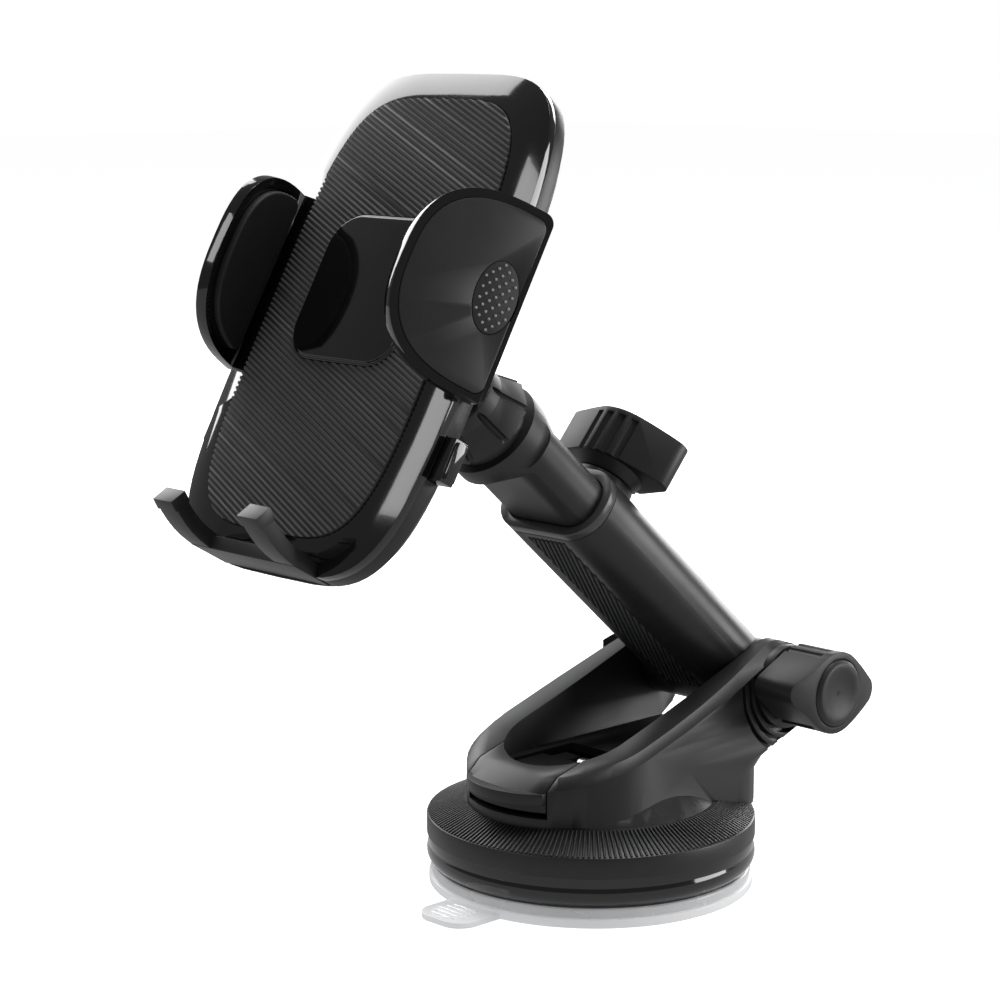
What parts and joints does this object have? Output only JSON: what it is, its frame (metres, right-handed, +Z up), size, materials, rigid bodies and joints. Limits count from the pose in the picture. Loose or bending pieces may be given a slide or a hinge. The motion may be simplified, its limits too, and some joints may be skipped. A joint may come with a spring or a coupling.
{
  "type": "car phone mount",
  "caption": "Suction-base car phone mount: pivoting telescopic arm, ball head and a phone cradle with two side clamps and a sliding foot.",
  "frame": {"origin": "middle of the sticky underside of the gel pad", "axes": "+Z up away from the dashboard, -Y towards the driver (the phone faces -Y), +X towards the pivot knob"},
  "size_m": [0.0772, 0.1662, 0.1823],
  "materials": {
    "clear_gel": "clear tacky gel",
    "cup_rubber": "translucent soft rubber",
    "gloss_black": "gloss moulded",
    "satin_black": "fine satin texture",
    "soft_black": "matt soft-touch",
    "collar_grey": "satin moulded",
    "inner_grey": "as moulded",
    "white_nylon": "as moulded",
    "steel": "zinc plated",
    "brass": "turned"
  },
  "bodies": {
    "base": {"gel_pad": "clear_gel", "suction_cup": "cup_rubber", "pressure_ring": "gloss_black", "ribbed_ring": "satin_black", "base_plate": "inner_grey", "base_screws": "steel", "base_shell": "satin_black", "pivot_bolt": "steel", "pivot_cap": "gloss_black", "friction_washers": "inner_grey"},
    "stud": {"suction_stud": "steel"},
    "lever": {"suction_lever": "satin_black", "lever_pin": "steel"},
    "knob_carrier": {"pivot_washer": "steel"},
    "base_knob": {"base_knob": "satin_black", "base_knob_insert": "brass", "base_knob_cap": "satin_black"},
    "arm": {"outer_arm": "satin_black", "texture_strip": "satin_black", "arm_collar": "collar_grey", "lock_insert": "brass"},
    "lock_shoe": {"lock_shoe": "soft_black"},
    "lock_knob": {"lock_knob": "satin_black", "lock_screw": "steel", "lock_knob_cap": "satin_black"},
    "inner_arm": {"inner_arm": "satin_black", "arm_end_plug": "inner_grey"},
    "ring_nut": {"ring_nut": "satin_black"},
    "ball_seat": {"ball_seat": "soft_black"},
    "ball": {"ball_stem": "inner_grey"},
    "cradle": {"rear_cover": "satin_black", "front_frame": "gloss_black", "grip_pad": "soft_black", "badge_plate": "gloss_black", "ball_screw": "steel", "housing_screws": "steel", "pinion_pin": "steel", "opening_spring": "steel", "foot_detent": "steel"},
    "pinion": {"pinion": "white_nylon"},
    "foot": {"foot": "satin_black"},
    "clamp_right": {"clamp_arm_right": "gloss_black", "clamp_cover_right": "satin_black", "clamp_grip_right": "soft_black", "clamp_pad_right": "soft_black"},
    "button_right": {"release_button_right": "gloss_black"},
    "pawl_right": {"latch_pawl_right": "white_nylon"},
    "clamp_left": {"clamp_arm_left": "gloss_black", "clamp_cover_left": "satin_black", "clamp_grip_left": "soft_black", "clamp_pad_left": "soft_black"},
    "button_left": {"release_button_left": "gloss_black"},
    "pawl_left": {"latch_pawl_left": "white_nylon"}
  },
  "joints": [
    {"name": "stud_slide", "type": "slide", "parent": "base", "child": "stud", "axis": [0, 0, -1], "range_m": [0, 0.002]},
    {"name": "lever_turn", "type": "hinge", "parent": "stud", "child": "lever", "pos_m": [0, 0, 0.024], "axis": [-1, 0, 0], "range_deg": [0, 70.1]},
    {"name": "knob_travel", "type": "slide", "parent": "base", "child": "knob_carrier", "axis": [1, 0, 0], "range_m": [0, 0.0016]},
    {"name": "base_knob_turn", "type": "hinge", "parent": "knob_carrier", "child": "base_knob", "pos_m": [0.0249, 0.0418, 0.04255], "axis": [1, 0, 0], "range_deg": [0, 720.5]},
    {"name": "arm_tilt", "type": "hinge", "parent": "base", "child": "arm", "pos_m": [0, 0.0418, 0.04255], "axis": [1, 0, 0], "range_deg": [-100, 15]},
    {"name": "shoe_travel", "type": "slide", "parent": "arm", "child": "lock_shoe", "axis": [0, 0.6574, 0.7536], "range_m": [0, 0.0006]},
    {"name": "lock_knob_turn", "type": "hinge", "parent": "lock_shoe", "child": "lock_knob", "pos_m": [0, -0.00417, 0.08265], "axis": [0, 0.6574, 0.7536], "range_deg": [0, 270.5]},
    {"name": "arm_extend", "type": "slide", "parent": "arm", "child": "inner_arm", "axis": [0, -0.7536, 0.6574], "range_m": [-0.008, 0.035]},
    {"name": "ring_nut_turn", "type": "hinge", "parent": "inner_arm", "child": "ring_nut", "pos_m": [0, -0.03883, 0.11289], "axis": [0, -0.7536, 0.6574], "range_deg": [0, 120]},
    {"name": "ball_spin", "type": "hinge", "parent": "inner_arm", "child": "ball_seat", "pos_m": [0, -0.03883, 0.11289], "axis": [0, -0.7536, 0.6574], "continuous": true},
    {"name": "ball_tilt", "type": "hinge", "parent": "ball_seat", "child": "ball", "pos_m": [0, -0.03883, 0.11289], "axis": [1, 0, 0], "range_deg": [-35, 20]},
    {"name": "cradle_turn", "type": "hinge", "parent": "ball", "child": "cradle", "pos_m": [0, -0.03883, 0.11289], "axis": [0, 0.8652, -0.5015], "continuous": true},
    {"name": "clamp_right_slide", "type": "slide", "parent": "cradle", "child": "clamp_right", "axis": [1, 0, 0], "range_m": [0, 0.015]},
    {"name": "clamp_left_slide", "type": "slide", "parent": "cradle", "child": "clamp_left", "axis": [-1, 0, 0], "range_m": [0, 0.015]},
    {"name": "pinion_turn", "type": "hinge", "parent": "cradle", "child": "pinion", "pos_m": [0, -0.06085, 0.13871], "axis": [0, 0.8652, -0.5015], "range_deg": [0, 143.7]},
    {"name": "button_right_press", "type": "slide", "parent": "cradle", "child": "button_right", "axis": [-1, 0, 0], "range_m": [0, 0.002], "stiffness_N_per_m": 300, "springref_m": -0.0015},
    {"name": "pawl_right_drop", "type": "slide", "parent": "cradle", "child": "pawl_right", "axis": [0, -0.5015, -0.8652], "range_m": [0, 0.0015]},
    {"name": "button_left_press", "type": "slide", "parent": "cradle", "child": "button_left", "axis": [1, 0, 0], "range_m": [0, 0.002], "stiffness_N_per_m": 300, "springref_m": -0.0015},
    {"name": "pawl_left_drop", "type": "slide", "parent": "cradle", "child": "pawl_left", "axis": [0, -0.5015, -0.8652], "range_m": [0, 0.0015]},
    {"name": "foot_slide", "type": "slide", "parent": "cradle", "child": "foot", "axis": [0, -0.5015, -0.8652], "range_m": [0, 0.018]}
  ],
  "couplings": [
    {"joint": "lever_turn", "follows": "stud_slide", "rad_per_m": 610.87},
    {"joint": "base_knob_turn", "follows": "knob_travel", "rad_per_m": 7854},
    {"joint": "lock_knob_turn", "follows": "shoe_travel", "rad_per_m": 7854},
    {"joint": "clamp_left_slide", "follows": "clamp_right_slide", "ratio": 1},
    {"joint": "pinion_turn", "follows": "clamp_right_slide", "rad_per_m": 166.67},
    {"joint": "pawl_right_drop", "follows": "button_right_press", "ratio": 0.75},
    {"joint": "pawl_left_drop", "follows": "button_left_press", "ratio": 0.75}
  ]
}
